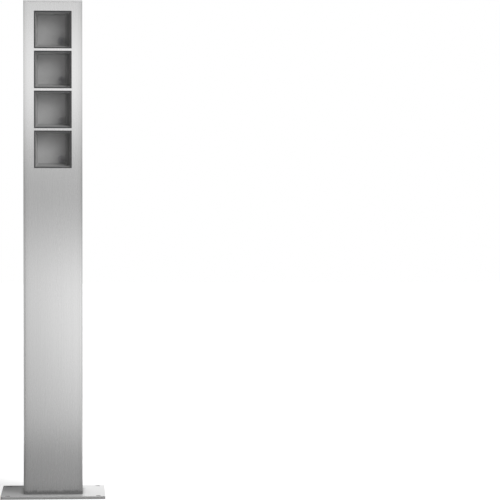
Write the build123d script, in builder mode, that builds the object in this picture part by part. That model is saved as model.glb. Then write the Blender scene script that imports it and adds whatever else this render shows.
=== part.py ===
from build123d import *
import os

# Garden socket post: a folded steel column on a square base plate.
# Millimetres, origin at the middle of the base plate's underside, front towards -Y, +Z up.
os.makedirs("parts", exist_ok=True)

# Device openings in the front, one above the other
opening_size = 67
opening_count = 4
web_height = 4
side_margin = 19
top_margin = 19

# Column, base plate and cap
post_depth = 105
sheet = 2
bend_radius = 4
rear_corner_radius = 1
column_height = 880
plate_size = 185
plate_thickness = 5
plate_corner_radius = 4
anchor_edge = 12.5
anchor_hole_radius = 4.5
cap_thickness = 3
cap_edge_chamfer = 0.4

# Clearances that are shared by many pieces
overrun = 1
seat_gap = 0.3
hole_clearance = 0.2
running_clearance = 0.05

# Sizes and places that follow from those above
post_width = opening_size + 2 * side_margin
opening_pitch = opening_size + web_height
plate_top = plate_thickness
column_top = plate_top + column_height
cap_bottom = column_top - cap_thickness
front_outer = -post_depth / 2
front_inner = front_outer + sheet
rear_outer = post_depth / 2
rear_inner = rear_outer - sheet
inner_width = post_width - 2 * sheet
inner_depth = post_depth - 2 * sheet
side_inner = inner_width / 2
opening_centres = [
    column_top - top_margin - opening_size / 2 - step * opening_pitch for step in range(opening_count)
]

# Cylinders and cones grow from their plane
grow = (Align.CENTER, Align.CENTER, Align.MIN)
sink = (Align.CENTER, Align.CENTER, Align.MAX)
hex_sides = 6


def wall_plane(y):
    """A plane across the post at depth y, drawn in X and Z; a negative extrusion runs to the rear."""
    return Plane.XZ.offset(-y)


def towards_rear(x, y, z):
    """A plane at a point, with its normal to the rear."""
    return Plane((x, y, z), x_dir=(1, 0, 0), z_dir=(0, 1, 0))


def towards_side(x, y, z, side):
    """A plane at a point, with its normal to the right (side 1) or to the left (side -1)."""
    return Plane((x, y, z), x_dir=(0, 1, 0), z_dir=(side, 0, 0))


# Base plate with four anchor holes and a round cable entry
cable_entry_radius = 30
anchor_spacing = plate_size - 2 * anchor_edge

with BuildPart() as base_plate:
    with BuildSketch():
        RectangleRounded(plate_size, plate_size, plate_corner_radius)
        with GridLocations(anchor_spacing, anchor_spacing, 2, 2):
            Circle(anchor_hole_radius, mode=Mode.SUBTRACT)
        Circle(cable_entry_radius, mode=Mode.SUBTRACT)
    extrude(amount=plate_thickness)
base_plate.part.label = "base_plate"
export_step(base_plate.part, "parts/base_plate.step")

# Rubber edge ring in the cable entry, kept clear of the ground
entry_ring_wall = 4
entry_ring_lip = 3
entry_ring_lip_height = 2

with BuildPart() as cable_entry_ring:
    with BuildSketch(Plane.XY.offset(seat_gap)):
        Circle(cable_entry_radius - hole_clearance)
    extrude(amount=plate_thickness - seat_gap)
    with BuildSketch(Plane.XY.offset(plate_top)):
        Circle(cable_entry_radius + entry_ring_lip)
    extrude(amount=entry_ring_lip_height)
    with BuildSketch(Plane.XY):
        Circle(cable_entry_radius - entry_ring_wall)
    extrude(amount=plate_thickness + entry_ring_lip_height + overrun, mode=Mode.SUBTRACT)
cable_entry_ring.part.label = "cable_entry_ring"
export_step(cable_entry_ring.part, "parts/cable_entry_ring.step")

# Cap seal, which sets where the column's walls end
cap_seal_thickness = 0.6
cap_seal_inset = 0.4
walls_top = cap_bottom - cap_seal_thickness
wall_height = walls_top - plate_top

# Countersunk cap screws through both side walls
cap_screw_radius = 1.5
cap_screw_head_radius = 2.8
cap_screw_spacing = 60
cap_screw_drop = 6
cap_screw_height = cap_bottom - cap_screw_drop
cap_screw_planes = [
    towards_side(side * post_width / 2, y, cap_screw_height, side)
    for side in (-1, 1)
    for y in (-cap_screw_spacing / 2, cap_screw_spacing / 2)
]

# Folded front channel: the front face with its openings, and both side walls
with BuildPart() as front_channel:
    with BuildSketch(Plane.XY.offset(plate_top)) as channel_outside:
        with Locations((0, (front_outer + rear_inner) / 2)):
            Rectangle(post_width, rear_inner - front_outer)
        fillet(channel_outside.vertices().group_by(Axis.Y)[0], bend_radius)
    extrude(amount=wall_height)
    with BuildSketch(Plane.XY.offset(plate_top)) as channel_inside:
        with Locations((0, (front_inner + rear_inner + overrun) / 2)):
            Rectangle(inner_width, rear_inner + overrun - front_inner)
        fillet(channel_inside.vertices().group_by(Axis.Y)[0], bend_radius - sheet)
    extrude(amount=wall_height, mode=Mode.SUBTRACT)
    with BuildSketch(wall_plane(front_outer)):
        with Locations(*[(0, z) for z in opening_centres]):
            Rectangle(opening_size, opening_size)
    extrude(amount=-(sheet + overrun), mode=Mode.SUBTRACT)
    with Locations(*cap_screw_planes):
        CounterSinkHole(
            cap_screw_radius + hole_clearance, cap_screw_head_radius + hole_clearance, depth=sheet + overrun
        )
front_channel.part.label = "front_channel"
export_step(front_channel.part, "parts/front_channel.step")

# Device boxes behind the openings: gasket, flange and a tapered pocket
gasket_thickness = 1.5
gasket_show = 2.7
box_sheet = 1
box_depth = 45
box_gap = 0.6
box_left_draft = 3
box_right_draft = 8.5
box_ceiling_draft = 1
box_floor_rise = 7
box_corner_radius = 2
stud_margin = 4
stud_rise = 22
stud_radius = 2
stud_length = 12
flange_edge = 5.5

pocket_size = opening_size - 2 * gasket_show
flange_height = opening_pitch - box_gap
stud_x = opening_size / 2 + stud_margin
flange_width = 2 * (stud_x + flange_edge)
flange_front = front_inner + gasket_thickness
flange_back = flange_front + box_sheet
pocket_back = flange_front + box_depth
back_width = pocket_size - box_left_draft - box_right_draft
back_height = pocket_size - box_ceiling_draft - box_floor_rise
back_lift = (box_floor_rise - box_ceiling_draft) / 2
back_shift = (box_left_draft - box_right_draft) / 2
stud_corners = [(x, z) for x in (-stud_x, stud_x) for z in (-stud_rise, stud_rise)]
stud_places = [(x, centre + z) for centre in opening_centres for x, z in stud_corners]

# Cable grommet low on the right of each pocket's back
grommet_hole_radius = 5
grommet_bore_radius = 3.2
grommet_lip = 1.5
grommet_lip_height = 1.5
grommet_edge = 7.5
grommet_x = back_shift + back_width / 2 - grommet_edge
grommet_drop = back_height / 2 - back_lift - grommet_edge

for number, centre in enumerate(opening_centres, start=1):
    with BuildPart() as bay_gasket:
        with BuildSketch(wall_plane(front_inner)):
            with Locations((0, centre)):
                Rectangle(flange_width, flange_height)
                Rectangle(pocket_size, pocket_size, mode=Mode.SUBTRACT)
            with Locations(*[(x, centre + z) for x, z in stud_corners]):
                Circle(stud_radius + hole_clearance, mode=Mode.SUBTRACT)
        extrude(amount=-gasket_thickness)
    bay_gasket.part.label = f"bay_gasket_{number}"
    export_step(bay_gasket.part, f"parts/bay_gasket_{number}.step")

    with BuildPart() as bay_box:
        with BuildSketch(wall_plane(flange_front)):
            with Locations((0, centre)):
                Rectangle(flange_width, flange_height)
            with Locations(*[(x, centre + z) for x, z in stud_corners]):
                Circle(stud_radius + hole_clearance, mode=Mode.SUBTRACT)
        extrude(amount=-box_sheet)
        with BuildSketch(wall_plane(flange_front)):
            with Locations((0, centre)):
                RectangleRounded(
                    pocket_size + 2 * box_sheet, pocket_size + 2 * box_sheet, box_corner_radius + box_sheet
                )
        with BuildSketch(wall_plane(pocket_back + box_sheet)):
            with Locations((back_shift, centre + back_lift)):
                RectangleRounded(
                    back_width + 2 * box_sheet, back_height + 2 * box_sheet, box_corner_radius + box_sheet
                )
        loft()
        with BuildSketch(wall_plane(flange_front)):
            with Locations((0, centre)):
                RectangleRounded(pocket_size, pocket_size, box_corner_radius)
        with BuildSketch(wall_plane(pocket_back)):
            with Locations((back_shift, centre + back_lift)):
                RectangleRounded(back_width, back_height, box_corner_radius)
        loft(mode=Mode.SUBTRACT)
        with Locations(towards_rear(grommet_x, pocket_back - overrun, centre - grommet_drop)):
            Cylinder(grommet_hole_radius, box_sheet + 2 * overrun, align=grow, mode=Mode.SUBTRACT)
    bay_box.part.label = f"bay_box_{number}"
    export_step(bay_box.part, f"parts/bay_box_{number}.step")

    with BuildPart() as bay_grommet:
        with Locations(towards_rear(grommet_x, pocket_back - grommet_lip_height, centre - grommet_drop)):
            Cylinder(grommet_hole_radius + grommet_lip, grommet_lip_height, align=grow)
        with Locations(towards_rear(grommet_x, pocket_back, centre - grommet_drop)):
            Cylinder(grommet_hole_radius - running_clearance, box_sheet, align=grow)
        with Locations(towards_rear(grommet_x, pocket_back + box_sheet, centre - grommet_drop)):
            Cylinder(grommet_hole_radius + grommet_lip, grommet_lip_height, align=grow)
        with Locations(towards_rear(grommet_x, pocket_back - grommet_lip_height, centre - grommet_drop)):
            Cylinder(
                grommet_bore_radius, box_sheet + 2 * grommet_lip_height, align=grow, mode=Mode.SUBTRACT
            )
    bay_grommet.part.label = f"bay_grommet_{number}"
    export_step(bay_grommet.part, f"parts/bay_grommet_{number}.step")

# Weld studs on the front's inner face, with washers and nuts that hold the boxes
washer_radius = 4
washer_thickness = 0.8
nut_radius = 4
nut_thickness = 3.2

with BuildPart() as box_studs:
    with Locations(*[towards_rear(x, front_inner, z) for x, z in stud_places]):
        Cylinder(stud_radius, stud_length, align=grow)
box_studs.part.label = "box_studs"
export_step(box_studs.part, "parts/box_studs.step")

with BuildPart() as box_washers:
    with Locations(*[towards_rear(x, flange_back, z) for x, z in stud_places]):
        Cylinder(washer_radius, washer_thickness, align=grow)
        Cylinder(stud_radius + hole_clearance, washer_thickness, align=grow, mode=Mode.SUBTRACT)
box_washers.part.label = "box_washers"
export_step(box_washers.part, "parts/box_washers.step")

with BuildPart() as box_nuts:
    with BuildSketch(wall_plane(flange_back + washer_thickness)):
        with Locations(*stud_places):
            RegularPolygon(nut_radius, hex_sides)
            Circle(stud_radius + running_clearance, mode=Mode.SUBTRACT)
    extrude(amount=-nut_thickness)
box_nuts.part.label = "box_nuts"
export_step(box_nuts.part, "parts/box_nuts.step")

# Cap: a flush plate on a seal, with a welded ring that reaches into the column
cap_ring_gap = 0.4
cap_ring_height = 11
cap_ring_width = inner_width - 2 * cap_ring_gap
cap_ring_depth = inner_depth - 2 * cap_ring_gap
cap_ring_corner = bend_radius - sheet

with BuildPart() as top_cap:
    with BuildSketch(Plane.XY.offset(cap_bottom)) as cap_outline:
        Rectangle(post_width, post_depth)
        fillet(cap_outline.vertices().group_by(Axis.Y)[0], bend_radius)
        fillet(cap_outline.vertices().group_by(Axis.Y)[-1], rear_corner_radius)
    extrude(amount=cap_thickness)
    chamfer(top_cap.faces().sort_by(Axis.Z)[-1].edges(), cap_edge_chamfer)
top_cap.part.label = "top_cap"
export_step(top_cap.part, "parts/top_cap.step")

with BuildPart() as cap_seal:
    with BuildSketch(Plane.XY.offset(walls_top)):
        RectangleRounded(
            post_width - 2 * cap_seal_inset, post_depth - 2 * cap_seal_inset, bend_radius - cap_seal_inset
        )
        RectangleRounded(inner_width, inner_depth, cap_ring_corner, mode=Mode.SUBTRACT)
    extrude(amount=cap_seal_thickness)
cap_seal.part.label = "cap_seal"
export_step(cap_seal.part, "parts/cap_seal.step")

with BuildPart() as cap_ring:
    with BuildSketch(Plane.XY.offset(cap_bottom - cap_ring_height)):
        RectangleRounded(cap_ring_width, cap_ring_depth, cap_ring_corner)
        Rectangle(cap_ring_width - 2 * sheet, cap_ring_depth - 2 * sheet, mode=Mode.SUBTRACT)
    extrude(amount=cap_ring_height)
    with Locations(*cap_screw_planes):
        Hole(cap_screw_radius + hole_clearance, depth=sheet + cap_ring_gap + sheet + overrun)
cap_ring.part.label = "cap_ring"
export_step(cap_ring.part, "parts/cap_ring.step")

cap_nut_thickness = 2.5
cap_nut_radius = 3.2
cap_screw_length = 8
cap_nut_x = cap_ring_width / 2 - sheet
cap_screw_cone = cap_screw_head_radius - cap_screw_radius

with BuildPart() as cap_screws:
    with Locations(*cap_screw_planes):
        Cylinder(cap_screw_radius, cap_screw_length, align=sink)
        Cone(cap_screw_radius, cap_screw_head_radius, cap_screw_cone, align=sink)
cap_screws.part.label = "cap_screws"
export_step(cap_screws.part, "parts/cap_screws.step")

with BuildPart() as cap_nuts:
    with Locations(
        *[
            towards_side(side * cap_nut_x, y, cap_screw_height, side)
            for side in (-1, 1)
            for y in (-cap_screw_spacing / 2, cap_screw_spacing / 2)
        ]
    ):
        Cylinder(cap_nut_radius, cap_nut_thickness, align=sink)
        Cylinder(
            cap_screw_radius + running_clearance, cap_nut_thickness, align=sink, mode=Mode.SUBTRACT
        )
cap_nuts.part.label = "cap_nuts"
export_step(cap_nuts.part, "parts/cap_nuts.step")

# Upper rear panel over the hand opening behind the boxes
cover_sheet = 2
cover_seal_thickness = 1.3
cover_inner = rear_outer + cover_seal_thickness
cover_outer = cover_inner + cover_sheet
panel_side_inset = 5.5
panel_corner_radius = 3
panel_overlap = 11
panel_drop = 10
hand_lip = 13
panel_screw_rows = 4
panel_screw_end = 7
panel_screw_radius = 2
panel_head_radius = 3.8
panel_head_height = 2.2
panel_nut_radius = 4
panel_nut_thickness = 3
panel_screw_tail = 1

panel_width = post_width - 2 * panel_side_inset
panel_top = cap_bottom - panel_drop
hand_top = panel_top - panel_overlap
hand_bottom = opening_centres[-1] - flange_height / 2
panel_bottom = hand_bottom - panel_overlap
panel_height = panel_top - panel_bottom
panel_middle = (panel_top + panel_bottom) / 2
hand_width = inner_width - 2 * hand_lip
panel_screw_x = (hand_width + panel_width) / 4
panel_screw_step = (panel_height - 2 * panel_screw_end) / (panel_screw_rows - 1)
panel_screw_places = [
    (side * panel_screw_x, panel_bottom + panel_screw_end + row * panel_screw_step)
    for side in (-1, 1)
    for row in range(panel_screw_rows)
]

# Barrel hinges of the service door: two pairs of leaves on loose pins
knuckle_radius = 3.2
pin_radius = 1.5
pin_head_radius = 2.4
pin_head_height = 1
leaf_thickness = 1.5
leaf_gap = 0.5
hinge_length = 50
hinge_end_share = 0.18
rivet_radius = 1.6
rivet_head_radius = 2.5
rivet_head_height = 1
rivet_tail_radius = 2.2
rivet_tail_height = 1.2
rivet_spread = 30
post_rivet_edge = 3.3
door_leaf_reach = 24
door_rivet_edge = 7

hinge_reach = knuckle_radius + leaf_gap
post_leaf_reach = hinge_reach + 2 * post_rivet_edge
hinge_x = -side_inner + post_leaf_reach
hinge_y = rear_outer + knuckle_radius + 2 * hole_clearance

# Lower service door, hinged on the left as seen from the front
service_sill = 125
cover_spacing = 113.3
lock_lip = 10.5
door_hinge_overlap = 6.5
door_overlap = 7
door_end_overlap = 10
door_corner_radius = 3
door_seal_edge = 0.5

service_bottom = plate_top + service_sill
service_top = panel_bottom - cover_spacing - door_end_overlap
service_height = service_top - service_bottom
door_left = hinge_x + hinge_reach
service_left = door_left + door_hinge_overlap
service_right = side_inner - lock_lip
service_width = service_right - service_left
service_centre = ((service_left + service_right) / 2, (service_bottom + service_top) / 2)
door_right = service_right + door_overlap
door_bottom = service_bottom - door_end_overlap
door_top = service_top + door_end_overlap
door_width = door_right - door_left
door_height = door_top - door_bottom
door_centre = ((door_left + door_right) / 2, (door_bottom + door_top) / 2)

# Where the hinges and their rivets sit
hinge_centres = [door_bottom + hinge_end_share * door_height, door_top - hinge_end_share * door_height]
knuckle_length = hinge_length / 3
post_leaf_left = hinge_x - post_leaf_reach
post_leaf_edge = hinge_x - hinge_reach
post_leaf_middle = (post_leaf_left + post_leaf_edge) / 2
post_tab_middle = (post_leaf_left + hinge_x) / 2
door_leaf_right = hinge_x + door_leaf_reach
post_rivet_x = post_leaf_left + post_rivet_edge
door_rivet_x = door_leaf_right - door_rivet_edge
rivet_heights = [z + side * rivet_spread / 2 for z in hinge_centres for side in (-1, 1)]
post_rivet_places = [(post_rivet_x, z) for z in rivet_heights]
door_rivet_places = [(door_rivet_x, z) for z in rivet_heights]

# Rear wall, welded to the channel, with both openings and the fastener holes
with BuildPart() as rear_wall:
    with BuildSketch(Plane.XY.offset(plate_top)) as rear_outline:
        with Locations((0, (rear_inner + rear_outer) / 2)):
            Rectangle(post_width, sheet)
        fillet(rear_outline.vertices().group_by(Axis.Y)[-1], rear_corner_radius)
    extrude(amount=wall_height)
    with BuildSketch(wall_plane(rear_inner)):
        with Locations((0, (hand_top + hand_bottom) / 2)):
            Rectangle(hand_width, hand_top - hand_bottom)
        with Locations(service_centre):
            Rectangle(service_width, service_height)
        with Locations(*panel_screw_places):
            Circle(panel_screw_radius + hole_clearance)
        with Locations(*post_rivet_places):
            Circle(rivet_radius + hole_clearance)
    extrude(amount=-(sheet + overrun), mode=Mode.SUBTRACT)
rear_wall.part.label = "rear_wall"
export_step(rear_wall.part, "parts/rear_wall.step")

with BuildPart() as upper_panel:
    with BuildSketch(wall_plane(cover_inner)):
        with Locations((0, panel_middle)):
            RectangleRounded(panel_width, panel_height, panel_corner_radius)
        with Locations(*panel_screw_places):
            Circle(panel_screw_radius + hole_clearance, mode=Mode.SUBTRACT)
    extrude(amount=-cover_sheet)
upper_panel.part.label = "upper_panel"
export_step(upper_panel.part, "parts/upper_panel.step")

with BuildPart() as upper_panel_seal:
    with BuildSketch(wall_plane(rear_outer)):
        with Locations((0, panel_middle)):
            RectangleRounded(
                panel_width - 2 * door_seal_edge, panel_height - 2 * door_seal_edge, panel_corner_radius
            )
        with Locations((0, (hand_top + hand_bottom) / 2)):
            Rectangle(hand_width, hand_top - hand_bottom, mode=Mode.SUBTRACT)
        with Locations(*panel_screw_places):
            Circle(panel_screw_radius + hole_clearance, mode=Mode.SUBTRACT)
    extrude(amount=-cover_seal_thickness)
upper_panel_seal.part.label = "upper_panel_seal"
export_step(upper_panel_seal.part, "parts/upper_panel_seal.step")

panel_nut_front = rear_inner - panel_nut_thickness
panel_screw_tip = panel_nut_front - panel_screw_tail
socket_radius = 1.4
socket_depth = 1.2

with BuildPart() as upper_panel_screws:
    with Locations(*[towards_rear(x, panel_screw_tip, z) for x, z in panel_screw_places]):
        Cylinder(panel_screw_radius, cover_outer - panel_screw_tip, align=grow)
    with Locations(*[towards_rear(x, cover_outer, z) for x, z in panel_screw_places]):
        Cylinder(panel_head_radius, panel_head_height, align=grow)
    with BuildSketch(wall_plane(cover_outer + panel_head_height)):
        with Locations(*panel_screw_places):
            RegularPolygon(socket_radius, hex_sides)
    extrude(amount=socket_depth, mode=Mode.SUBTRACT)
upper_panel_screws.part.label = "upper_panel_screws"
export_step(upper_panel_screws.part, "parts/upper_panel_screws.step")

with BuildPart() as upper_panel_nuts:
    with Locations(*[towards_rear(x, panel_nut_front, z) for x, z in panel_screw_places]):
        Cylinder(panel_nut_radius, panel_nut_thickness, align=grow)
        Cylinder(
            panel_screw_radius + running_clearance, panel_nut_thickness, align=grow, mode=Mode.SUBTRACT
        )
upper_panel_nuts.part.label = "upper_panel_nuts"
export_step(upper_panel_nuts.part, "parts/upper_panel_nuts.step")

# Cam lock near the door's free edge
lock_nut_gap = 2
housing_radius = 8
housing_flange_radius = 11
housing_flange_height = 2
lock_nut_radius = 11
lock_nut_thickness = 2.6
spindle_radius = 4
spindle_square = 5
well_radius = 5.8
collar_gap = 0.3
collar_height = 1
key_radius = 4.2
key_sides = 3
key_recess = 0.4
cam_gap = 0.5
cam_thickness = 2.5
cam_hub_radius = 6.5
cam_width = 10
cam_bite = 5
cam_tip_radius = 3
cam_screw_radius = 1.5
cam_screw_depth = 5
cam_screw_head_radius = 3.8
cam_screw_head_height = 2.5

lock_inset = lock_nut_radius + lock_nut_gap
lock_x = service_right - lock_inset
lock_z = door_centre[1]
cam_length = lock_inset + cam_bite
cam_rear = rear_inner - cam_gap
cam_front = cam_rear - cam_thickness
housing_front = cam_rear + seat_gap
housing_rear = cover_outer + housing_flange_height
well_front = cover_inner

with BuildPart() as service_door:
    with BuildSketch(wall_plane(cover_inner)):
        with Locations(door_centre):
            RectangleRounded(door_width, door_height, door_corner_radius)
        with Locations((lock_x, lock_z)):
            Circle(housing_radius + hole_clearance, mode=Mode.SUBTRACT)
        with Locations(*door_rivet_places):
            Circle(rivet_radius + hole_clearance, mode=Mode.SUBTRACT)
    extrude(amount=-cover_sheet)
service_door.part.label = "service_door"
export_step(service_door.part, "parts/service_door.step")

door_seal_front = rear_outer + seat_gap

with BuildPart() as door_seal:
    with BuildSketch(wall_plane(door_seal_front)):
        with Locations(door_centre):
            RectangleRounded(
                door_width - 2 * door_seal_edge,
                door_height - 2 * door_seal_edge,
                door_corner_radius - door_seal_edge,
            )
        with Locations(service_centre):
            Rectangle(
                service_width + 2 * door_seal_edge, service_height + 2 * door_seal_edge, mode=Mode.SUBTRACT
            )
    extrude(amount=-(cover_inner - door_seal_front))
door_seal.part.label = "door_seal"
export_step(door_seal.part, "parts/door_seal.step")

# Post leaves: flat on the rear wall, each with a knuckle at both ends of the barrel
with BuildPart() as hinge_post_leaves:
    with BuildSketch(wall_plane(rear_outer)):
        with Locations(*[(post_leaf_middle, z) for z in hinge_centres]):
            Rectangle(post_leaf_edge - post_leaf_left, hinge_length)
        for end in (-1, 1):
            with Locations(*[(post_tab_middle, z + end * knuckle_length) for z in hinge_centres]):
                Rectangle(post_leaf_reach, knuckle_length - seat_gap)
        with Locations(*post_rivet_places):
            Circle(rivet_radius + hole_clearance, mode=Mode.SUBTRACT)
    extrude(amount=-leaf_thickness)
    with Locations(
        *[(hinge_x, hinge_y, z + end * knuckle_length) for z in hinge_centres for end in (-1, 1)]
    ):
        Cylinder(knuckle_radius, knuckle_length - seat_gap)
        Cylinder(pin_radius + running_clearance, knuckle_length, mode=Mode.SUBTRACT)
hinge_post_leaves.part.label = "hinge_post_leaves"
export_step(hinge_post_leaves.part, "parts/hinge_post_leaves.step")

# Door leaves: flat on the door, each with the middle knuckle
with BuildPart() as hinge_door_leaves:
    with BuildSketch(wall_plane(cover_outer)):
        with Locations(*[((door_left + door_leaf_right) / 2, z) for z in hinge_centres]):
            Rectangle(door_leaf_right - door_left, hinge_length)
        with Locations(*[((hinge_x + door_leaf_right) / 2, z) for z in hinge_centres]):
            Rectangle(door_leaf_reach, knuckle_length - seat_gap)
        with Locations(*door_rivet_places):
            Circle(rivet_radius + hole_clearance, mode=Mode.SUBTRACT)
    extrude(amount=-leaf_thickness)
    with Locations(*[(hinge_x, hinge_y, z) for z in hinge_centres]):
        Cylinder(knuckle_radius, knuckle_length - seat_gap)
        Cylinder(pin_radius + running_clearance, knuckle_length, mode=Mode.SUBTRACT)
hinge_door_leaves.part.label = "hinge_door_leaves"
export_step(hinge_door_leaves.part, "parts/hinge_door_leaves.step")

knuckle_end = 1.5 * knuckle_length - seat_gap / 2

with BuildPart() as hinge_pins:
    with Locations(*[(hinge_x, hinge_y, z) for z in hinge_centres]):
        Cylinder(pin_radius, 2 * knuckle_end)
    with Locations(*[(hinge_x, hinge_y, z + knuckle_end) for z in hinge_centres]):
        Cylinder(pin_head_radius, pin_head_height, align=grow)
    with Locations(*[(hinge_x, hinge_y, z - knuckle_end) for z in hinge_centres]):
        Cylinder(pin_head_radius, pin_head_height, align=sink)
hinge_pins.part.label = "hinge_pins"
export_step(hinge_pins.part, "parts/hinge_pins.step")

# Blind rivets: a head on the leaf, a shank and a set tail behind the sheet
with BuildPart() as hinge_post_rivets:
    with Locations(*[towards_rear(x, rear_inner - rivet_tail_height, z) for x, z in post_rivet_places]):
        Cylinder(rivet_tail_radius, rivet_tail_height, align=grow)
        Cylinder(rivet_radius, rivet_tail_height + sheet + leaf_thickness, align=grow)
    with Locations(*[towards_rear(x, rear_outer + leaf_thickness, z) for x, z in post_rivet_places]):
        Cone(rivet_head_radius, rivet_radius, rivet_head_height, align=grow)
hinge_post_rivets.part.label = "hinge_post_rivets"
export_step(hinge_post_rivets.part, "parts/hinge_post_rivets.step")

with BuildPart() as hinge_door_rivets:
    with Locations(*[towards_rear(x, cover_inner - rivet_tail_height, z) for x, z in door_rivet_places]):
        Cylinder(rivet_tail_radius, rivet_tail_height, align=grow)
        Cylinder(rivet_radius, rivet_tail_height + cover_sheet + leaf_thickness, align=grow)
    with Locations(*[towards_rear(x, cover_outer + leaf_thickness, z) for x, z in door_rivet_places]):
        Cone(rivet_head_radius, rivet_radius, rivet_head_height, align=grow)
hinge_door_rivets.part.label = "hinge_door_rivets"
export_step(hinge_door_rivets.part, "parts/hinge_door_rivets.step")

# Lock housing with its key well, held by a nut inside the door
with BuildPart() as lock_housing:
    with Locations(towards_rear(lock_x, housing_front, lock_z)):
        Cylinder(housing_radius, cover_outer - housing_front, align=grow)
    with Locations(towards_rear(lock_x, cover_outer, lock_z)):
        Cylinder(housing_flange_radius, housing_flange_height, align=grow)
    with Locations(towards_rear(lock_x, housing_front, lock_z)):
        Cylinder(
            spindle_radius + running_clearance, housing_rear - housing_front, align=grow, mode=Mode.SUBTRACT
        )
    with Locations(towards_rear(lock_x, well_front, lock_z)):
        Cylinder(well_radius, housing_rear - well_front, align=grow, mode=Mode.SUBTRACT)
lock_housing.part.label = "lock_housing"
export_step(lock_housing.part, "parts/lock_housing.step")

with BuildPart() as lock_nut:
    with BuildSketch(wall_plane(cover_inner)):
        with Locations((lock_x, lock_z)):
            RegularPolygon(lock_nut_radius, hex_sides)
            Circle(housing_radius + running_clearance, mode=Mode.SUBTRACT)
    extrude(amount=lock_nut_thickness)
lock_nut.part.label = "lock_nut"
export_step(lock_nut.part, "parts/lock_nut.step")

with BuildPart() as lock_spindle:
    with BuildSketch(wall_plane(cam_front)):
        with Locations((lock_x, lock_z)):
            Rectangle(spindle_square, spindle_square)
    extrude(amount=-cam_thickness)
    with Locations(towards_rear(lock_x, cam_rear, lock_z)):
        Cylinder(spindle_radius, well_front + running_clearance - cam_rear, align=grow)
    with Locations(towards_rear(lock_x, well_front + running_clearance, lock_z)):
        Cylinder(well_radius - collar_gap, collar_height, align=grow)
    with BuildSketch(wall_plane(well_front + collar_height)):
        with Locations((lock_x, lock_z)):
            RegularPolygon(key_radius, key_sides)
    extrude(amount=-(housing_rear - key_recess - well_front - collar_height))
    with Locations(towards_rear(lock_x, cam_front, lock_z)):
        Cylinder(cam_screw_radius + running_clearance, cam_screw_depth, align=grow, mode=Mode.SUBTRACT)
lock_spindle.part.label = "lock_spindle"
export_step(lock_spindle.part, "parts/lock_spindle.step")

# Cam, hanging down while unlocked
with BuildPart() as lock_cam:
    with BuildSketch(wall_plane(cam_front)) as cam_outline:
        with Locations((lock_x, lock_z - cam_length / 2)):
            Rectangle(cam_width, cam_length)
        fillet(cam_outline.vertices().group_by(Axis.Z)[0], cam_tip_radius)
        with Locations((lock_x, lock_z)):
            Circle(cam_hub_radius)
            Rectangle(
                spindle_square + 2 * running_clearance,
                spindle_square + 2 * running_clearance,
                mode=Mode.SUBTRACT,
            )
    extrude(amount=-cam_thickness)
lock_cam.part.label = "lock_cam"
export_step(lock_cam.part, "parts/lock_cam.step")

with BuildPart() as cam_screw:
    with Locations(towards_rear(lock_x, cam_front, lock_z)):
        Cylinder(cam_screw_radius, cam_screw_depth - running_clearance, align=grow)
        Cylinder(cam_screw_head_radius, cam_screw_head_height, align=sink)
cam_screw.part.label = "cam_screw"
export_step(cam_screw.part, "parts/cam_screw.step")

# Terminal rail on a cross bracket that is welded between the side walls
bracket_setback = 23.5
bracket_sheet = 1.5
bracket_height = 50
bracket_flange = 16
rail_drop = 115
rail_end_gap = 4.5
rail_width = 35
rail_depth = 7.5
rail_sheet = 1
rail_lip = 5
rail_screw_end = 8
rail_screw_tail = 1
rail_screw_radius = 2.5
rail_screw_head_radius = 4.5
rail_screw_head_height = 3
rail_nut_radius = 4.6
rail_nut_thickness = 4

bracket_y = front_inner + bracket_setback
rail_height = service_top - rail_drop
rail_length = inner_width - 2 * rail_end_gap
rail_screw_x = rail_length / 2 - rail_screw_end
rail_back = bracket_y + bracket_sheet
rail_front = rail_back + rail_depth
rail_web_width = rail_width - 2 * rail_lip
rail_screw_places = [(-rail_screw_x, rail_height), (rail_screw_x, rail_height)]

with BuildPart() as rail_bracket:
    with BuildSketch(Plane.XY.offset(rail_height - bracket_height / 2)):
        with Locations((0, bracket_y + bracket_flange / 2)):
            Rectangle(inner_width, bracket_flange)
        with Locations((0, rail_back + bracket_flange / 2)):
            Rectangle(inner_width - 2 * bracket_sheet, bracket_flange, mode=Mode.SUBTRACT)
    extrude(amount=bracket_height)
    with Locations(*[towards_rear(x, bracket_y, z) for x, z in rail_screw_places]):
        Cylinder(
            rail_screw_radius + hole_clearance, bracket_sheet + overrun, align=grow, mode=Mode.SUBTRACT
        )
rail_bracket.part.label = "rail_bracket"
export_step(rail_bracket.part, "parts/rail_bracket.step")

with BuildPart() as terminal_rail:
    with BuildSketch(Plane.YZ.offset(-rail_length / 2)):
        with Locations((rail_back + rail_sheet / 2, rail_height)):
            Rectangle(rail_sheet, rail_web_width)
        for side in (-1, 1):
            flank = rail_height + side * (rail_web_width + rail_sheet) / 2
            with Locations((rail_back + rail_depth / 2, flank)):
                Rectangle(rail_depth, rail_sheet)
            lip = rail_height + side * (rail_width - rail_lip) / 2
            with Locations((rail_front - rail_sheet / 2, lip)):
                Rectangle(rail_sheet, rail_lip)
    extrude(amount=rail_length)
    with Locations(*[towards_rear(x, rail_back - overrun, z) for x, z in rail_screw_places]):
        Cylinder(
            rail_screw_radius + hole_clearance, rail_sheet + 2 * overrun, align=grow, mode=Mode.SUBTRACT
        )
terminal_rail.part.label = "terminal_rail"
export_step(terminal_rail.part, "parts/terminal_rail.step")

with BuildPart() as rail_screws:
    with Locations(*[towards_rear(x, rail_back + rail_sheet, z) for x, z in rail_screw_places]):
        Cylinder(rail_screw_head_radius, rail_screw_head_height, align=grow)
        Cylinder(
            rail_screw_radius, rail_sheet + bracket_sheet + rail_nut_thickness + rail_screw_tail, align=sink
        )
rail_screws.part.label = "rail_screws"
export_step(rail_screws.part, "parts/rail_screws.step")

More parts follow.
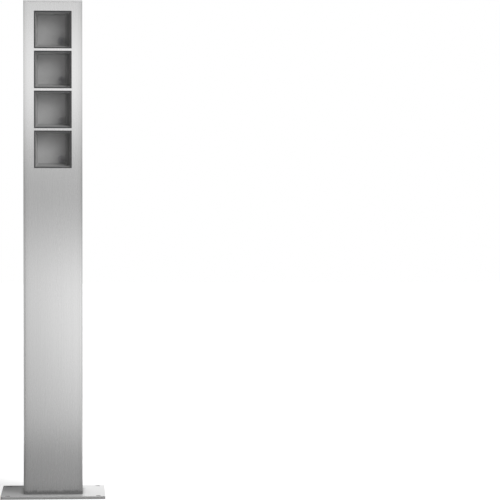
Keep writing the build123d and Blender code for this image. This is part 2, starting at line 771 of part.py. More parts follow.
with BuildPart() as rail_nuts:
    with BuildSketch(wall_plane(bracket_y)):
        with Locations(*rail_screw_places):
            RegularPolygon(rail_nut_radius, hex_sides)
            Circle(rail_screw_radius + running_clearance, mode=Mode.SUBTRACT)
    extrude(amount=rail_nut_thickness)
rail_nuts.part.label = "rail_nuts"
export_step(rail_nuts.part, "parts/rail_nuts.step")

# Terminal blocks clipped side by side on the rail: three phases, neutral and earth
phase_count = 3
block_width = 8
block_gap = 0.2
block_overhang = 7.5
block_depth = 38
block_shoulder = 8
block_foot_depth = 4
block_foot_wall = 4
entry_radius = 2.6
entry_depth = 12
entry_setback = 14
screw_well_radius = 2.4
screw_well_depth = 6
screw_well_rise = 15
clamp_screw_radius = 2.2
clamp_screw_height = 4
end_stop_width = 9
end_stop_overhang = 4.5
end_stop_depth = 24

block_height = rail_width + 2 * block_overhang
end_stop_height = rail_width + 2 * end_stop_overhang
block_step = block_width + block_gap
block_count = phase_count + 2
block_places = [(index - (block_count - 1) / 2) * block_step for index in range(block_count)]
phase_places = block_places[:phase_count]
neutral_place, earth_place = block_places[phase_count:]
block_front = rail_front + block_depth
hook_inside = rail_width / 2 + seat_gap


def clip_outline(x, width, height, depth):
    """The side outline of a body clipped on the rail, drawn in Y and Z at its left face."""
    with BuildSketch(Plane.YZ.offset(x - width / 2)) as outline:
        with Locations((rail_front + depth / 2, rail_height)):
            Rectangle(depth, height)
        chamfer(outline.vertices().group_by(Axis.Y)[-1], block_shoulder)
        for side in (-1, 1):
            foot = rail_height + side * (hook_inside + block_foot_wall / 2)
            with Locations((rail_front, foot)):
                Rectangle(2 * block_foot_depth, block_foot_wall)
    return outline.sketch


def terminal_cuts(x):
    """Wire entries in both shoulders' ends and the wells of both clamp screws."""
    for side in (-1, 1):
        end = rail_height + side * block_height / 2
        with Locations(Plane((x, rail_front + entry_setback, end), z_dir=(0, 0, side))):
            Cylinder(entry_radius, entry_depth, align=sink, mode=Mode.SUBTRACT)
        with Locations(towards_rear(x, block_front, rail_height + side * screw_well_rise)):
            Cylinder(screw_well_radius, screw_well_depth, align=sink, mode=Mode.SUBTRACT)


with BuildPart() as phase_terminals:
    for place in phase_places:
        extrude(clip_outline(place, block_width, block_height, block_depth), amount=block_width)
        terminal_cuts(place)
phase_terminals.part.label = "phase_terminals"
export_step(phase_terminals.part, "parts/phase_terminals.step")

with BuildPart() as neutral_terminal:
    extrude(clip_outline(neutral_place, block_width, block_height, block_depth), amount=block_width)
    terminal_cuts(neutral_place)
neutral_terminal.part.label = "neutral_terminal"
export_step(neutral_terminal.part, "parts/neutral_terminal.step")

with BuildPart() as earth_terminal:
    extrude(clip_outline(earth_place, block_width, block_height, block_depth), amount=block_width)
    terminal_cuts(earth_place)
earth_terminal.part.label = "earth_terminal"
export_step(earth_terminal.part, "parts/earth_terminal.step")

with BuildPart() as terminal_screws:
    with Locations(
        *[
            towards_rear(x, block_front - screw_well_depth, rail_height + side * screw_well_rise)
            for x in block_places
            for side in (-1, 1)
        ]
    ):
        Cylinder(clamp_screw_radius, clamp_screw_height, align=grow)
terminal_screws.part.label = "terminal_screws"
export_step(terminal_screws.part, "parts/terminal_screws.step")

end_stop_x = block_places[-1] + (block_step + end_stop_width + block_gap) / 2

with BuildPart() as end_stops:
    for side in (-1, 1):
        extrude(
            clip_outline(side * end_stop_x, end_stop_width, end_stop_height, end_stop_depth),
            amount=end_stop_width,
        )
end_stops.part.label = "end_stops"
export_step(end_stops.part, "parts/end_stops.step")

# Earth stud on the left side wall, above the base
earth_rise = 55
earth_setback = 25.5
earth_radius = 4
earth_length = 26
earth_washer_radius = 8
earth_washer_thickness = 1.6
earth_nut_radius = 7.5
earth_nut_thickness = 6.5

earth_height = service_bottom + earth_rise
earth_y = rear_inner - earth_setback

with BuildPart() as earth_stud:
    with Locations(towards_side(-side_inner, earth_y, earth_height, 1)):
        Cylinder(earth_radius, earth_length, align=grow)
earth_stud.part.label = "earth_stud"
export_step(earth_stud.part, "parts/earth_stud.step")

earth_nut_planes = [
    Plane.YZ.offset(-side_inner),
    Plane.YZ.offset(-side_inner + earth_nut_thickness + 2 * earth_washer_thickness),
]

with BuildPart() as earth_nuts:
    for plane in earth_nut_planes:
        with BuildSketch(plane):
            with Locations((earth_y, earth_height)):
                RegularPolygon(earth_nut_radius, hex_sides)
                Circle(earth_radius + running_clearance, mode=Mode.SUBTRACT)
        extrude(amount=earth_nut_thickness)
earth_nuts.part.label = "earth_nuts"
export_step(earth_nuts.part, "parts/earth_nuts.step")

with BuildPart() as earth_washers:
    for index in range(2):
        start = -side_inner + earth_nut_thickness + index * earth_washer_thickness
        with BuildSketch(Plane.YZ.offset(start)):
            with Locations((earth_y, earth_height)):
                Circle(earth_washer_radius)
                Circle(earth_radius + hole_clearance, mode=Mode.SUBTRACT)
        extrude(amount=earth_washer_thickness)
earth_washers.part.label = "earth_washers"
export_step(earth_washers.part, "parts/earth_washers.step")
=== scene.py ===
"""Garden socket post: finishes, small details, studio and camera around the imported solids."""
import math

import bmesh
import bpy
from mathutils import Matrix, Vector


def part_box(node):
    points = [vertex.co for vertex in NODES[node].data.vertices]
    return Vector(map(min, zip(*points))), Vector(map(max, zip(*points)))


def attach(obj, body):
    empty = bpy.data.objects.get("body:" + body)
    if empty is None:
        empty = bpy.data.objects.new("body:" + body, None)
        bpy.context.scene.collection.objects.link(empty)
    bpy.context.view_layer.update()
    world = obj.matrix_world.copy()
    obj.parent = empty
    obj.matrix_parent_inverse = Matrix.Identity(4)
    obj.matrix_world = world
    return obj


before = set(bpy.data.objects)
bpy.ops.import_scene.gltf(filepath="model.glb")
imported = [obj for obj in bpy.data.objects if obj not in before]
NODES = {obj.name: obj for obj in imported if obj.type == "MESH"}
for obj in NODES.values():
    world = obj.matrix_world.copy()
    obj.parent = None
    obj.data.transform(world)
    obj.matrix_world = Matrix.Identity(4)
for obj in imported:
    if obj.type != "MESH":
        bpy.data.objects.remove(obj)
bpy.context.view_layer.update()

MM = 0.001
WHITE = (1.0, 1.0, 1.0, 1.0)
BAYS = range(1, 5)

# the column's half width, the depth of its front face and the top of the base plate
COLUMN_LOW, COLUMN_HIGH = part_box("front_channel")
COLUMN_HALF = COLUMN_HIGH[0]
COLUMN_FRONT = COLUMN_LOW[1]
PLATE_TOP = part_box("base_plate")[1][2]


# ---------------------------------------------------------------- node helpers
class Nodes:
    """Short calls for building one node tree."""

    def __init__(self, owner):
        owner.use_nodes = True
        self.tree = owner.node_tree
        self.tree.nodes.clear()

    def node(self, kind, **values):
        made = self.tree.nodes.new(kind)
        for key, value in values.items():
            setattr(made, key, value)
        return made

    def feed(self, socket, value):
        """Link an output into the socket, or write a plain value there."""
        if isinstance(value, bpy.types.NodeSocket):
            self.tree.links.new(value, socket)
        else:
            socket.default_value = value

    def math(self, operation, first, second=0.0, clamp=False):
        made = self.node("ShaderNodeMath", operation=operation, use_clamp=clamp)
        self.feed(made.inputs[0], first)
        self.feed(made.inputs[1], second)
        return made.outputs[0]

    def add(self, first, second, clamp=False):
        return self.math("ADD", first, second, clamp)

    def times(self, first, second):
        return self.math("MULTIPLY", first, second)

    def absolute(self, value):
        return self.math("ABSOLUTE", value)

    def most(self, first, second):
        return self.math("MAXIMUM", first, second)

    def sway(self, noise, share):
        """A noise that runs from 0 to 1, turned into one around 0 and scaled by share."""
        return self.times(self.math("SUBTRACT", noise, 0.5), share)

    def span(self, value, low, high, to_low=0.0, to_high=1.0):
        """Value mapped from low..high to to_low..to_high, and held at both ends."""
        made = self.node("ShaderNodeMapRange")
        for socket, number in zip(made.inputs, (value, low, high, to_low, to_high)):
            self.feed(socket, number)
        return made.outputs[0]

    def rays(self, *kinds):
        """1 for rays of the named kinds, 0 for all others."""
        path = self.node("ShaderNodeLightPath")
        found = path.outputs[kinds[0]]
        for kind in kinds[1:]:
            found = self.most(found, path.outputs[kind])
        return found


class Shade(Nodes):
    """One node material: its shader, a principled one unless named, and what feeds it."""

    def __init__(self, name, shader="ShaderNodeBsdfPrincipled"):
        self.material = bpy.data.materials.new(name)
        super().__init__(self.material)
        self.output = self.node("ShaderNodeOutputMaterial")
        self.shader = self.node(shader)
        self.feed(self.output.inputs["Surface"], self.shader.outputs[0])
        coordinates = self.node("ShaderNodeTexCoord")
        self.place = coordinates.outputs["Object"]
        self.normal = coordinates.outputs["Normal"]

    def set(self, name, value):
        self.feed(self.shader.inputs[name], value)

    def part_of(self, vector, index):
        made = self.node("ShaderNodeSeparateXYZ")
        self.feed(made.inputs[0], vector)
        return made.outputs[index]

    def axis(self, index):
        """The place along x, y or z, in metres."""
        return self.part_of(self.place, index)

    def facing(self, index):
        """How far the surface faces along x, y or z, from -1 to 1."""
        return self.part_of(self.normal, index)

    def noise(self, cells, detail=2.0, roughness=0.5):
        """Noise from 0 to 1 with so many cells to the metre along x, y and z."""
        stretched = self.node("ShaderNodeVectorMath", operation="MULTIPLY")
        self.feed(stretched.inputs[0], self.place)
        stretched.inputs[1].default_value = cells
        made = self.node("ShaderNodeTexNoise")
        self.feed(made.inputs["Vector"], stretched.outputs[0])
        made.inputs["Scale"].default_value = 1.0
        made.inputs["Detail"].default_value = detail
        made.inputs["Roughness"].default_value = roughness
        return made.outputs[0]

    def mix(self, factor, first, second):
        """First where factor is 0, second where it is 1."""
        made = self.node("ShaderNodeMix", data_type="RGBA")
        colour_a, colour_b, colour_out = made.inputs[6], made.inputs[7], made.outputs[2]
        self.feed(made.inputs["Factor"], factor)
        self.feed(colour_a, first)
        self.feed(colour_b, second)
        return colour_out

    def tinted(self, tint, level, warmth=0.0):
        """Grey of that level, darker where tint is below 0 and paler where it is above."""
        return self.mix(self.add(tint, 0.5, clamp=True), grey(level * 0.5, warmth),
                        grey(min(level * 1.5, 1.0), warmth))

    def bump(self, height, strength, distance, below=None):
        made = self.node("ShaderNodeBump")
        made.inputs["Strength"].default_value = strength
        made.inputs["Distance"].default_value = distance
        self.feed(made.inputs["Height"], height)
        if below is not None:
            self.feed(made.inputs["Normal"], below)
        return made.outputs[0]

    def open_air(self, reach):
        """0 deep in a hole or corner, 1 where nothing stands within reach."""
        found = self.node("ShaderNodeAmbientOcclusion", samples=6)
        found.inputs["Distance"].default_value = reach
        return self.span(found.outputs["AO"], 0.25, 0.85)

    def edges(self, radius):
        """1 along outside and inside edges, 0 on the faces."""
        bevel = self.node("ShaderNodeBevel", samples=4)
        bevel.inputs["Radius"].default_value = radius
        face = self.node("ShaderNodeNewGeometry").outputs["Normal"]
        dot = self.node("ShaderNodeVectorMath", operation="DOT_PRODUCT")
        self.feed(dot.inputs[0], bevel.outputs[0])
        self.feed(dot.inputs[1], face)
        return self.span(dot.outputs["Value"], 0.995, 0.90)

    def tangent(self, kind):
        """The direction that stretches the gloss: round the z axis, or along x or y."""
        if kind == "round_z":
            return self.node("ShaderNodeTangent", direction_type="RADIAL", axis="Z").outputs[0]
        made = self.node("ShaderNodeVectorTransform", vector_type="VECTOR",
                         convert_from="OBJECT", convert_to="WORLD")
        made.inputs[0].default_value = {"x": (1.0, 0.0, 0.0), "y": (0.0, 1.0, 0.0)}[kind]
        return made.outputs[0]


def grey(level, warmth=0.0):
    return (level * (1.0 + warmth), level, level * (1.0 - warmth), 1.0)


# ---------------------------------------------------------------- painted shade on the metal, and the crown bump
def fold_shade(s, colour, level, start, corner, share):
    """Painted shade: the sheet darkens towards the front corners, before each bend."""
    across = s.span(s.absolute(s.axis(0)), start, corner)
    ahead = s.span(s.times(s.axis(1), -1.0), start, corner)
    near = s.times(across, ahead)
    return s.mix(s.times(near, near), colour, grey(level * share))


def weld_tint(s, colour, level, start, end, share):
    """Painted shade: the colour darkens below a ragged line just above the base plate, where the
    foot is shaded and reflects the dark plate.
    """
    ragged = s.noise((90.0, 90.0, 0.0))
    height = s.add(s.axis(2), s.sway(ragged, 4.0 * MM))
    return s.mix(s.span(height, start, end), grey(level * share), colour)


def cut_edges(s, colour, level, share):
    """Painted shade: faces that stand upright are darker than the top, as they catch less light.
    """
    return s.mix(s.span(s.absolute(s.facing(2)), 0.3, 0.7), grey(level * share), colour)


def mouth_stain(s, colour, level, start, end, share):
    """Painted shade: the left-facing right wall of each pocket is darker near the opening than
    further in.
    """
    inwards = s.span(s.axis(1), start, end)
    elsewhere = s.span(s.facing(0), -0.9, -0.5)
    return s.mix(s.most(inwards, elsewhere), grey(level * share), colour)


def dirty_corners(s, colour, level, reach, share):
    """Painted shade: the colour darkens in holes and where pieces meet."""
    return s.mix(s.open_air(reach), grey(level * share), colour)


def crowned(s, half, reach, height, bow):
    """The sheet bows a little across its width and rolls off before each bend."""
    x = s.absolute(s.axis(0))
    near = s.most(s.math("SUBTRACT", x, half - reach), 0.0)
    rolled = s.times(s.times(near, near), -height / (reach * reach))
    return s.bump(s.math("SUBTRACT", rolled, s.times(s.times(x, x), bow)), 1.0, 1.0)


# ---------------------------------------------------------------- materials
FINE_GRAIN = 3200.0      # cells per metre across the brush lines
MIDDLE_GRAIN = 620.0
GRAIN_HEIGHT = 0.04 * MM


def brushed(name, level, rough, anisotropy, grain, tangent=None, depth=0.25, edge=0.8 * MM,
            broad=0.05, metal=1.0, crown=None, marks=()):
    """Brushed sheet. grain is the coordinate scale along the brush lines (small) and across."""
    s = Shade(name)
    fine = s.noise([FINE_GRAIN * g for g in grain], 2.0, 0.6)
    middle = s.noise([MIDDLE_GRAIN * g for g in grain], 3.0, 0.55)
    cloud = s.noise((9.0, 9.0, 5.0), 3.0)
    worn = s.edges(edge)
    tint = s.add(s.sway(fine, 0.10), s.sway(middle, 0.08))
    tint = s.add(tint, s.sway(cloud, broad))
    colour = s.tinted(s.add(tint, s.times(worn, 0.05)), level)
    # painted shade is laid over the colour here
    for mark, values in marks:
        colour = mark(s, colour, level, **values)
    s.set("Base Color", colour)
    s.set("Metallic", metal)
    uneven = s.add(s.sway(cloud, 0.06), s.add(s.sway(fine, 0.10), rough))
    s.set("Roughness", s.math("SUBTRACT", uneven, s.times(worn, 0.05)))
    s.shader.inputs["Anisotropic"].default_value = anisotropy
    if tangent:
        s.set("Tangent", s.tangent(tangent))
    below = crowned(s, **crown) if crown else None
    lines = s.add(s.times(fine, 0.6), s.times(middle, 0.6))
    s.set("Normal", s.bump(lines, depth, GRAIN_HEIGHT, below))
    return s.material


def rough_metal(name, level, rough, metal=1.0, grain=260.0, warmth=0.0, spread=0.18, marks=()):
    """Plated, pickled or turned metal: fine speckle, soft clouds and bright edges."""
    s = Shade(name)
    speck = s.noise((6.0 * grain,) * 3, 2.0, 0.6)
    cloud = s.noise((0.25 * grain,) * 3, 4.0, 0.6)
    tint = s.add(s.sway(cloud, spread * 1.6), s.sway(speck, spread * 0.7))
    colour = s.tinted(s.add(tint, s.times(s.edges(0.4 * MM), 0.08)), level, warmth)
    # painted shade is laid over the colour here
    for mark, values in marks:
        colour = mark(s, colour, level, **values)
    s.set("Base Color", colour)
    s.set("Metallic", metal)
    s.set("Roughness", s.add(s.sway(cloud, 0.2), rough))
    s.set("Normal", s.bump(s.add(speck, cloud), 0.2, 0.08 * MM))
    return s.material


def rubber(name, level):
    """Moulded rubber: dull, with a dusty bloom and a fine pebble."""
    s = Shade(name)
    bloom = s.noise((70.0,) * 3, 4.0, 0.65)
    pebble = s.noise((2600.0,) * 3)
    dust = s.add(s.span(bloom, 0.45, 0.75, 0.0, 0.5), s.times(s.edges(0.4 * MM), 0.25), clamp=True)
    s.set("Base Color", s.mix(dust, (level, level, level * 1.05, 1.0),
                              (level * 2.1, level * 2.05, level * 2.0, 1.0)))
    s.set("Roughness", s.span(bloom, 0.3, 0.7, 0.54, 0.74))
    s.set("Normal", s.bump(pebble, 0.25, 0.12 * MM))
    return s.material


def plastic(name, colour):
    """Moulded terminal plastic: slight flow clouds, fine spark texture, paler edges."""
    s = Shade(name)
    cloud = s.noise((120.0, 120.0, 60.0), 3.0, 0.6)
    spark = s.noise((3500.0,) * 3)
    dark = tuple(c * 0.86 for c in colour) + (1.0,)
    pale = tuple(min(c * 1.12 + 0.01, 1.0) for c in colour) + (1.0,)
    factor = s.add(cloud, s.times(s.edges(0.3 * MM), 0.35), clamp=True)
    s.set("Base Color", s.mix(factor, dark, pale))
    s.set("Roughness", s.span(cloud, 0.3, 0.7, 0.40, 0.53))
    s.set("Normal", s.bump(spark, 0.2, 0.1 * MM))
    return s.material


# Painted shade in holes and corners, with its reach and its share of the level.
def grime(reach, share):
    return dirty_corners, {"reach": reach, "share": share}


UPRIGHT = (1.0, 1.0, 0.006)
CROSSWISE = (0.006, 1.0, 1.0)
FACE_CROWN = {"half": COLUMN_HALF, "reach": 12.0 * MM, "height": 0.08 * MM, "bow": 0.45}
# Painted shade on the face: darker front corners and a dark band at the foot.
FACE_MARKS = (
    (fold_shade, {"start": COLUMN_HALF - 12.5 * MM, "corner": COLUMN_HALF, "share": 0.76}),
    (weld_tint, {"start": PLATE_TOP + 3.5 * MM, "end": PLATE_TOP + 8.0 * MM, "share": 0.30}),
)
# Painted shade on the plate: darker upright faces and darker corners.
PLATE_MARKS = ((cut_edges, {"share": 0.72}), grime(10.0 * MM, 0.18))
# Painted shade in the pockets: a darker right wall near the opening and darker corners.
POCKET_MARKS = (
    (mouth_stain, {"start": COLUMN_FRONT + 22.5 * MM, "end": COLUMN_FRONT + 42.5 * MM,
                   "share": 0.45}),
    grime(3.5 * MM, 0.90),
)

# The corner darkening given to the finishes below is painted shade in their holes and corners.
FACE_STEEL = brushed("face_steel", 0.74, 0.27, 0.9, UPRIGHT, "round_z", depth=0.14,
                     crown=FACE_CROWN, marks=FACE_MARKS)
REAR_STEEL = brushed("rear_steel", 0.72, 0.32, 0.9, UPRIGHT, "x", marks=[grime(4.0 * MM, 0.4)])
CAP_STEEL = brushed("cap_steel", 0.74, 0.32, 0.8, CROSSWISE, "y")
PLATE_STEEL = brushed("plate_steel_skin", 0.74, 0.40, 0.0, CROSSWISE, depth=0.35,
                      edge=1.0 * MM, broad=0.12, metal=0.78, marks=PLATE_MARKS)
HINGE_STEEL = brushed("hinge_steel", 0.52, 0.33, 0.7, UPRIGHT, "x", edge=0.4 * MM,
                      marks=[grime(3.0 * MM, 0.35)])
POCKET_STEEL = rough_metal("pocket_skin", 0.35, 0.55, metal=0.25, marks=POCKET_MARKS)
FASTENER_STEEL = rough_metal("fastener_skin", 0.56, 0.26, grain=500.0,
                             marks=[grime(3.0 * MM, 0.3)])
ZINC_STEEL = rough_metal("zinc_skin", 0.64, 0.36, warmth=0.012, spread=0.28)
LOCK_CHROME = rough_metal("lock_skin", 0.46, 0.18, grain=700.0, spread=0.10,
                          marks=[grime(4.0 * MM, 0.25)])
SEAL_RUBBER = rubber("seal_skin", 0.042)
GREY_RUBBER = rubber("grey_seal_skin", 0.36)
GROMMET_RUBBER = rubber("grommet_skin", 0.26)
BLOCK_GREY = plastic("block_grey_skin", (0.52, 0.52, 0.50))
BLOCK_BLUE = plastic("block_blue_skin", (0.05, 0.18, 0.50))
BLOCK_EARTH = plastic("block_earth_skin", (0.30, 0.50, 0.08))

BY_SLOT = {
    "column_steel": FACE_STEEL,
    "plate_steel": PLATE_STEEL,
    "pocket_steel": POCKET_STEEL,
    "fastener_steel": FASTENER_STEEL,
    "zinc_steel": ZINC_STEEL,
    "seal_rubber": SEAL_RUBBER,
    "grey_rubber": GREY_RUBBER,
    "lock_chrome": LOCK_CHROME,
    "block_grey": BLOCK_GREY,
    "block_blue": BLOCK_BLUE,
    "block_earth": BLOCK_EARTH,
}
BY_NODE = {
    "rear_wall": REAR_STEEL,
    "upper_panel": REAR_STEEL,
    "service_door": REAR_STEEL,
    "top_cap": CAP_STEEL,
    "cap_seal": GREY_RUBBER,
    **{f"bay_grommet_{number}": GROMMET_RUBBER for number in BAYS},
    "hinge_door_leaves": HINGE_STEEL,
    "hinge_post_leaves": HINGE_STEEL,
}
for name, node in NODES.items():
    for slot in node.material_slots:
        slot.material = BY_NODE.get(name) or BY_SLOT[slot.material.name.split(".")[0]]


# ---------------------------------------------------------------- grommet membranes
BORE_RADIUS = 3.2 * MM
LIP_HEIGHT = 1.5 * MM
MEMBRANE_STEPS = 40
MEMBRANE_PROFILE = [  # share of the bore radius, millimetres proud of the lip's middle
    (1.02, -0.30), (1.02, 0.10), (0.86, 0.14), (0.80, 0.34), (0.72, 0.36), (0.64, 0.16),
    (0.40, 0.24), (0.24, 0.62), (0.14, 0.80), (0.0, 0.84)]
MEMBRANE_BACK = -0.45


def place_object(name, mesh, material):
    mesh.materials.append(material)
    made = bpy.data.objects.new(name, mesh)
    bpy.context.scene.collection.objects.link(made)
    return made


def turned(name, centre, radius, profile, back, material):
    """A closed disc turned round the depth axis; its front faces the opening."""
    shape = bmesh.new()
    rings = []
    for share, proud in profile:
        y = centre.y - proud * MM
        if share == 0.0:
            rings.append([shape.verts.new((centre.x, y, centre.z))])
            continue
        ring = []
        for step in range(MEMBRANE_STEPS):
            turn = 2.0 * math.pi * step / MEMBRANE_STEPS
            ring.append(shape.verts.new((centre.x + radius * share * math.cos(turn), y,
                                         centre.z + radius * share * math.sin(turn))))
        rings.append(ring)
    behind = shape.verts.new((centre.x, centre.y - back * MM, centre.z))
    for one, two in zip(rings, rings[1:]):
        for step in range(MEMBRANE_STEPS):
            after = (step + 1) % MEMBRANE_STEPS
            if len(two) == 1:
                shape.faces.new((one[step], one[after], two[0]))
            else:
                shape.faces.new((one[step], one[after], two[after], two[step]))
    for step in range(MEMBRANE_STEPS):
        shape.faces.new((rings[0][(step + 1) % MEMBRANE_STEPS], rings[0][step], behind))
    bmesh.ops.recalc_face_normals(shape, faces=shape.faces)
    mesh = bpy.data.meshes.new(name)
    shape.to_mesh(mesh)
    shape.free()
    for face in mesh.polygons:
        face.use_smooth = True
    return place_object(name, mesh, material)


for number in BAYS:
    box_low, box_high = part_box(f"bay_grommet_{number}")
    middle = (Vector(box_low) + Vector(box_high)) / 2.0
    middle.y = Vector(box_low).y + LIP_HEIGHT / 2.0
    membrane = turned(f"grommet_membrane_{number}", middle, BORE_RADIUS, MEMBRANE_PROFILE,
                      MEMBRANE_BACK, GROMMET_RUBBER)
    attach(membrane, "post")


# ---------------------------------------------------------------- studio surfaces
def staged(name, corners, faces, material):
    mesh = bpy.data.meshes.new(name)
    mesh.from_pydata(corners, [], faces)
    card = place_object(name, mesh, material)
    return card


def lying_card(name, half_x, half_y, height, material):
    corners = [(-half_x, -half_y, height), (half_x, -half_y, height),
               (half_x, half_y, height), (-half_x, half_y, height)]
    return staged(name, corners, [(0, 1, 2, 3)], material)


def seen_only_in_gloss(card):
    card.visible_camera = False
    card.visible_diffuse = False
    card.visible_shadow = False
    card.visible_transmission = False
    card.visible_volume_scatter = False


def glowing(s, strength):
    s.set("Strength", strength)
    return s.material


FLOOR_REACH = 14.0
FLOOR_HEIGHT = -0.2 * MM
FLOOR_GREY = 0.80
FLOOR_GLOW = 0.60


def floor_material():
    """Matt grey that takes the post's shadow, lifted to near white as the camera sees it."""
    s = Shade("studio_floor", "ShaderNodeBsdfDiffuse")
    s.set("Color", grey(FLOOR_GREY))
    glow = s.node("ShaderNodeEmission")
    lifted = s.times(s.rays("Is Camera Ray", "Is Glossy Ray"), FLOOR_GLOW)
    s.feed(glow.inputs["Strength"], lifted)
    both = s.node("ShaderNodeAddShader")
    s.feed(both.inputs[0], s.shader.outputs[0])
    s.feed(both.inputs[1], glow.outputs[0])
    s.feed(s.output.inputs["Surface"], both.outputs[0])
    return s.material


lying_card("studio_floor", FLOOR_REACH, FLOOR_REACH, FLOOR_HEIGHT, floor_material())

SHOWN_STRENGTH = 1.0
AMBIENT_STRENGTH = 0.30


def white_background(nodes, strength):
    made = nodes.node("ShaderNodeBackground")
    made.inputs["Color"].default_value = WHITE
    made.inputs["Strength"].default_value = strength
    return made.outputs[0]


world = bpy.data.worlds.new("studio_world")
bpy.context.scene.world = world
sky = Nodes(world)
either = sky.node("ShaderNodeMixShader")
sky.feed(either.inputs[0], sky.rays("Is Camera Ray", "Is Glossy Ray", "Is Transmission Ray"))
sky.feed(either.inputs[1], white_background(sky, AMBIENT_STRENGTH))
sky.feed(either.inputs[2], white_background(sky, SHOWN_STRENGTH))
sky.feed(sky.node("ShaderNodeOutputWorld").inputs["Surface"], either.outputs[0])

# a pale tent round the post, graded in height and bearing, that only reflections see
TENT_RADIUS = 1.2
TENT_LOW = -0.02
TENT_HIGH = 1.9
TENT_STEPS = 96
TENT_LEVELS = [  # height above the floor in metres, brightness: a grey band between two pale ones
    (0.0, 0.7), (0.3, 1.1), (0.4, 1.0), (0.5, 0.6), (0.6, 0.5), (0.7, 1.0), (0.8, 1.3),
    (0.9, 1.2), (1.0, 0.7), (1.2, 0.9)]
TENT_BEARINGS = [  # degrees away from the front on either side, share of the brightness
    (0.0, 1.0), (35.0, 1.0), (60.0, 0.95), (95.0, 0.85), (130.0, 0.88), (180.0, 0.92)]
TENT_LEAN = [  # height in metres, how much brighter the right side is than the front
    (0.00, 0.55), (0.09, 0.8), (0.19, 1.3), (0.33, 1.2), (0.43, 0.5), (0.53, 0.0),
    (0.59, 0.0), (1.90, 0.0)]
TENT_FALL = [  # height in metres, how much darker the left side is than the front
    (0.00, 1.2), (0.09, 1.5), (0.19, 1.5), (0.33, 1.2), (0.43, 0.9), (0.53, 0.6),
    (0.65, 0.1), (1.90, 0.0)]
LEAN_FADES_FROM = 26.0   # degrees away from the front
LEAN_FADES_TO = 52.0
LEAN_LEFT_OVER = 0.12
LEAN_LEAST = 0.55


def ramp_of(s, value, stops):
    """A smooth grey ramp of value through the given stops."""
    ramp = s.node("ShaderNodeValToRGB")
    ramp.color_ramp.interpolation = "B_SPLINE"
    while len(ramp.color_ramp.elements) > 1:
        ramp.color_ramp.elements.remove(ramp.color_ramp.elements[0])
    first, last = stops[0][0], stops[-1][0]
    peak = max(shine for _, shine in stops)
    ramp.color_ramp.elements[0].position = 0.0
    ramp.color_ramp.elements[0].color = grey(stops[0][1] / peak)
    for place, shine in stops[1:]:
        stop = ramp.color_ramp.elements.new((place - first) / (last - first))
        stop.color = grey(shine / peak)
    s.feed(ramp.inputs[0], s.span(value, first, last))
    return s.times(ramp.outputs[0], peak)


def tent_material():
    s = Shade("tent", "ShaderNodeEmission")
    height = s.axis(2)
    bearing = s.math("DEGREES", s.math("ARCTAN2", s.absolute(s.axis(0)), s.times(s.axis(1), -1.0)))
    level = s.times(ramp_of(s, height, TENT_LEVELS), ramp_of(s, bearing, TENT_BEARINGS))
    # low down the right side of the tent glows more than the left
    side = s.times(s.axis(0), 1.0 / TENT_RADIUS)
    side = s.times(side, s.span(bearing, LEAN_FADES_FROM, LEAN_FADES_TO, 1.0, LEAN_LEFT_OVER))
    lean = s.add(s.times(s.most(side, 0.0), ramp_of(s, height, TENT_LEAN)),
                 s.times(s.math("MINIMUM", side, 0.0), ramp_of(s, height, TENT_FALL)))
    return glowing(s, s.times(level, s.most(s.add(lean, 1.0), LEAN_LEAST)))


def tent():
    points, faces = [], []
    for step in range(TENT_STEPS):
        turn = 2.0 * math.pi * step / TENT_STEPS
        x, y = TENT_RADIUS * math.sin(turn), -TENT_RADIUS * math.cos(turn)
        points += [(x, y, TENT_LOW), (x, y, TENT_HIGH)]
        here, after = 2 * step, 2 * ((step + 1) % TENT_STEPS)
        faces.append((here, after, after + 1, here + 1))
    seen_only_in_gloss(staged("tent", points, faces, tent_material()))


tent()

# a grey card just above the floor, which upright faces reflect in place of the white floor
LOW_CARD_HALF = 0.9
LOW_CARD_HEIGHT = 0.4 * MM
LOW_CARD_LEVEL = 0.39
LOW_CARD_NEAR = 0.20         # its level right against the base plate
LOW_CARD_FADE = (0.13, 0.20)
LOW_CARD_LEFT = 0.66         # share of the level that is left on its left
LOW_CARD_TURN = (-0.30, 0.05)


def low_card_material():
    """Dark right against the base plate, as the plate shades it, and lighter further out."""
    s = Shade("low_card", "ShaderNodeEmission")
    reach = s.most(s.absolute(s.axis(0)), s.absolute(s.axis(1)))
    level = s.span(reach, *LOW_CARD_FADE, LOW_CARD_NEAR, LOW_CARD_LEVEL)
    return glowing(s, s.times(level, s.span(s.axis(0), *LOW_CARD_TURN, LOW_CARD_LEFT, 1.0)))


seen_only_in_gloss(lying_card("low_card", LOW_CARD_HALF, TENT_RADIUS, LOW_CARD_HEIGHT,
                              low_card_material()))

# two cards behind the ends of the base plate, reflected in its top
END_CARD_NEAR = 0.05
END_CARD_FAR = 0.50
END_CARD_BEHIND = 0.13
END_CARD_TOP = 0.80          # the tent's own grey


def end_card(name, side, shine, fade, top):
    """A low card behind one end of the base plate, fading upwards into the tent's own grey."""
    s = Shade(name, "ShaderNodeEmission")
    near, far = END_CARD_NEAR * side, END_CARD_FAR * side
    corners = [(near, END_CARD_BEHIND, 0.0), (far, END_CARD_BEHIND, 0.0),
               (far, END_CARD_BEHIND, top), (near, END_CARD_BEHIND, top)]
    material = glowing(s, s.span(s.axis(2), fade, top, shine, END_CARD_TOP))
    seen_only_in_gloss(staged(name, corners, [(0, 1, 2, 3)], material))


end_card("dark_card", -1.0, 0.02, 0.06, 0.09)
end_card("pale_card", 1.0, 1.25, 0.09, 0.17)

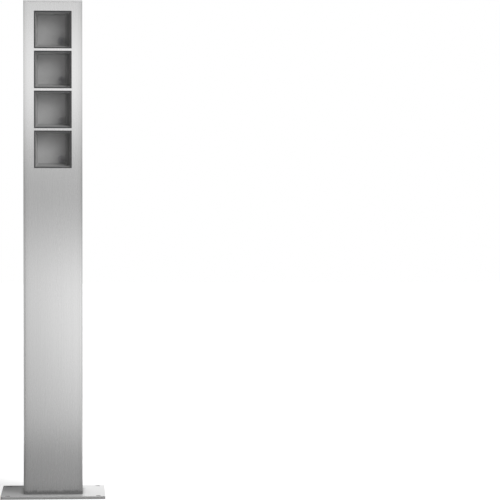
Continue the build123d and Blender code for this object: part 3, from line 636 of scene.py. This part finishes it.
# ---------------------------------------------------------------- lamps
KEY_STRENGTH = 3.0
KEY_SPREAD = 38.0
KEY_PLACE = (1.95, -2.9, 1.55)   # it is a sun, so only the direction from here counts
ORIGIN = (0.0, 0.0, 0.0)
FILL_POWER = 8.5         # light thrown up from the floor in front, soft and weak
FILL_LENGTH = 1.2
FILL_DEPTH = 0.4
FILL_PLACE = (0.60, -1.15, 0.02)
FILL_TARGET = (0.0, 0.0, 0.75)


def lamp(name, kind, energy, place, target):
    """A lamp at place that shines at target and doesn't show in gloss."""
    light = bpy.data.lights.new(name, kind)
    light.energy = energy
    made = bpy.data.objects.new(name, light)
    made.visible_glossy = False
    made.location = place
    made.rotation_euler = (Vector(target) - Vector(place)).to_track_quat("-Z", "Y").to_euler()
    bpy.context.scene.collection.objects.link(made)
    return made


key_lamp = lamp("key", "SUN", KEY_STRENGTH, KEY_PLACE, ORIGIN)
key_lamp.data.angle = math.radians(KEY_SPREAD)

fill_lamp = lamp("fill", "AREA", FILL_POWER, FILL_PLACE, FILL_TARGET)
fill_lamp.data.shape = "RECTANGLE"
fill_lamp.data.size = FILL_LENGTH
fill_lamp.data.size_y = FILL_DEPTH
fill_lamp.visible_camera = False

# ---------------------------------------------------------------- camera
SENSOR = 36.0
PHOTO_SIDE = 500.0
FOCAL_PIXELS = 2473.0
CAMERA_PLACE = (0.0502, -4.4694, 0.5000)
CAMERA_DOWN = 0.7767     # degrees that it is tipped down
CAMERA_RIGHT = 3.9049    # degrees that it is turned right, which puts the post on the left
lens = bpy.data.cameras.new("camera")
lens.sensor_fit = "HORIZONTAL"
lens.sensor_width = SENSOR
lens.lens = FOCAL_PIXELS * SENSOR / PHOTO_SIDE
camera = bpy.data.objects.new("camera", lens)
camera.location = CAMERA_PLACE
camera.rotation_euler = (math.radians(90.0 - CAMERA_DOWN), 0.0, math.radians(-CAMERA_RIGHT))
bpy.context.scene.collection.objects.link(camera)
bpy.context.scene.camera = camera
bpy.context.scene.view_settings.view_transform = "Standard"
